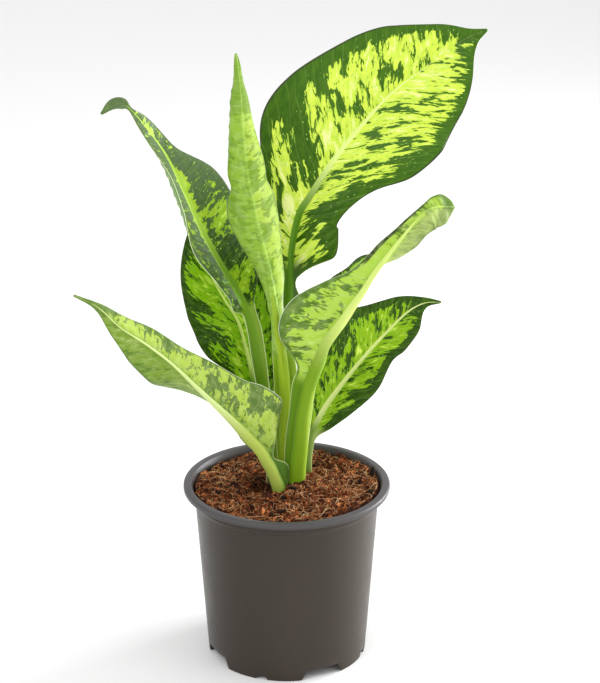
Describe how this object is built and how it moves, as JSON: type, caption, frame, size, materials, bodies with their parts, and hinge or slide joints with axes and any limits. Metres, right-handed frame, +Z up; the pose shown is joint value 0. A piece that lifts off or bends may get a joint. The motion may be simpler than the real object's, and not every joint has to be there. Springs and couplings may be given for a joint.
{
  "type": "potted dieffenbachia",
  "caption": "House plant with large mottled leaves on sheathed stalks, rooted in coir mix in a round plastic nursery pot with a rolled rim and notched foot.",
  "frame": {"origin": "centre of the pot's underside, on the surface that it stands on", "axes": "+Z up along the pot's axis, -Y the front as seen in the picture, +X to the right seen from the front"},
  "size_m": [0.2248, 0.1359, 0.3641],
  "materials": {
    "leaf_upper": "leathery leaf, mottled dark and yellow-green, satin",
    "leaf_under": "paler leaf underside with soft grey-green patches, satin",
    "stem": "green, faintly ringed, satin",
    "coir_mix": "loose damp coir and peat with fibres and husk chips, matt",
    "pot_plastic": "moulded dark taupe-grey plastic, semi-matt"
  },
  "bodies": {
    "root": {"pot": "pot_plastic", "soil": "coir_mix", "stem": "stem", "leaf_upper_right": "leaf_upper", "leaf_centre_rolled": "leaf_under", "leaf_upper_left": "leaf_upper", "leaf_middle_left": "leaf_upper", "leaf_lower_left": "leaf_under", "leaf_front_right": "leaf_under", "leaf_lower_right": "leaf_upper"}
  },
  "joints": []
}
